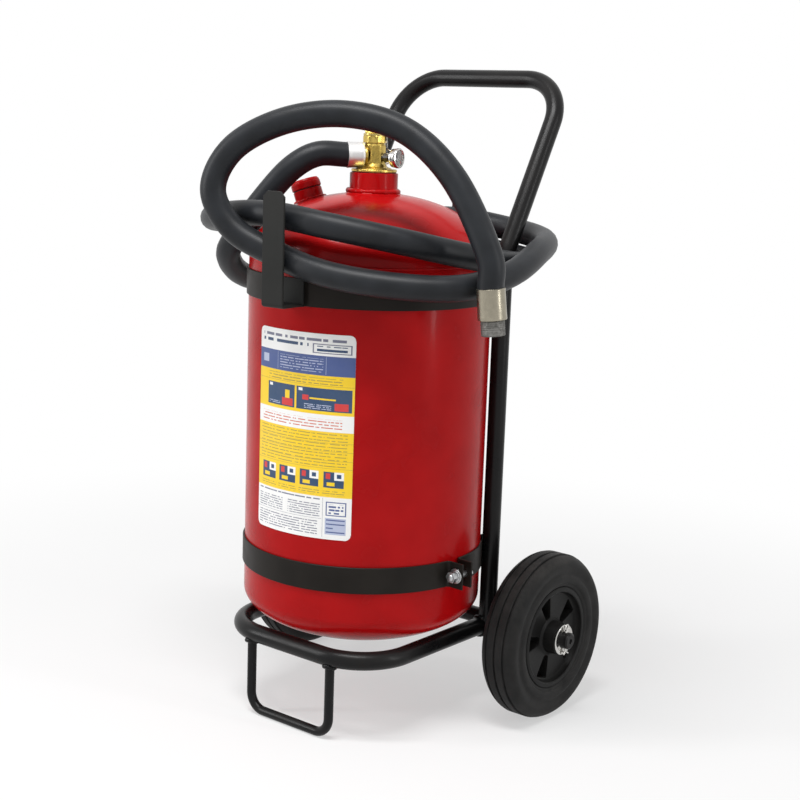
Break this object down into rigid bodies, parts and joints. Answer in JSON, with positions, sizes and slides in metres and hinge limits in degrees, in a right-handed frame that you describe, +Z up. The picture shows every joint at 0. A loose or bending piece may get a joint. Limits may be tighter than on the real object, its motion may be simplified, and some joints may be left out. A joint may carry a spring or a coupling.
{
  "type": "wheeled fire extinguisher",
  "caption": "Powder fire extinguisher tank strapped to a tubular two-wheel trolley, with hose, hose hooks, lever valve and pressure gauge.",
  "frame": {"origin": "on the floor, under the middle of the object's box (without the hose and its end fitting)", "axes": "+Z up, +X along the axle towards the side with the gauge, -Y towards the label and the foot loop, +Y towards the handle"},
  "size_m": [0.4715, 0.4256, 0.7675],
  "materials": {
    "red_paint": "gloss",
    "black_seal": "matt",
    "label": "satin print",
    "black_paint": "satin",
    "hook_paint": "satin",
    "zinc_steel": "zinc plated",
    "chrome": "polished",
    "tyre_rubber": "matt",
    "wheel_plastic": "moulded",
    "bush_plastic": "moulded",
    "brass": "cast and turned",
    "lever_red": "gloss",
    "dial": "printed",
    "needle_black": "matt",
    "lens": "clear",
    "ferrule_metal": "bright",
    "nickel": "satin",
    "grey_steel": "matt",
    "hose_rubber": "matt"
  },
  "bodies": {
    "trolley": {"tank_shell": "red_paint", "neck_collar": "red_paint", "filler_boss": "red_paint", "filler_seal": "black_seal", "filler_cap": "red_paint", "label_plate": "label", "upper_band": "black_paint", "upper_band_bolt": "zinc_steel", "upper_band_washers": "zinc_steel", "upper_band_nut": "zinc_steel", "lower_band": "black_paint", "lower_band_bolt": "zinc_steel", "lower_band_washers": "zinc_steel", "lower_band_nut": "zinc_steel", "front_hook": "hook_paint", "rear_hook": "hook_paint", "left_upright": "black_paint", "right_upright": "black_paint", "handle_bow": "black_paint", "base_hoop": "black_paint", "foot_loop": "black_paint", "axle": "black_paint", "axle_spacers": "black_paint", "inner_washers": "zinc_steel", "hub_washers": "chrome", "split_pins": "chrome", "neck_seal": "black_seal", "valve_body": "brass", "ball_seat": "bush_plastic", "stem_packing": "bush_plastic", "valve_bonnet": "brass", "lock_plate": "zinc_steel", "dip_tube": "zinc_steel", "gauge_stem": "chrome", "gauge_case": "chrome", "gauge_dial": "dial", "gauge_lens": "lens", "valve_nipple": "brass", "valve_ferrule": "ferrule_metal", "hose": "hose_rubber", "tip_ferrule": "nickel", "tip_nipple": "grey_steel"},
    "left_wheel": {"left_tyre": "tyre_rubber", "left_hub": "wheel_plastic", "left_bush": "bush_plastic"},
    "right_wheel": {"right_tyre": "tyre_rubber", "right_hub": "wheel_plastic", "right_bush": "bush_plastic"},
    "valve_turn": {"valve_lever": "lever_red", "lever_nut": "zinc_steel", "valve_stem": "zinc_steel", "valve_ball": "zinc_steel"},
    "lock_pin_set": {"lock_pin": "zinc_steel", "lock_pin_ring": "zinc_steel"},
    "needle": {"gauge_needle": "needle_black"}
  },
  "joints": [
    {"name": "left_wheel_spin", "type": "hinge", "parent": "trolley", "child": "left_wheel", "pos_m": [-0.1893, 0.09912, 0.1], "axis": [1, 0, 0], "continuous": true},
    {"name": "right_wheel_spin", "type": "hinge", "parent": "trolley", "child": "right_wheel", "pos_m": [0.1893, 0.09912, 0.1], "axis": [1, 0, 0], "continuous": true},
    {"name": "lever_turn", "type": "hinge", "parent": "trolley", "child": "valve_turn", "pos_m": [0, -0.01781, 0.692], "axis": [0, 0, -1], "range_deg": [0, 90]},
    {"name": "lock_pin_slide", "type": "slide", "parent": "trolley", "child": "lock_pin_set", "axis": [0, 0, 1], "range_m": [-0.012, 0.005]},
    {"name": "gauge_needle_turn", "type": "hinge", "parent": "trolley", "child": "needle", "pos_m": [0.02667, -0.01358, 0.66], "axis": [0.9877, 0.1564, 0], "range_deg": [-120, 120], "stiffness_Nm_per_rad": 0.0002}
  ]
}
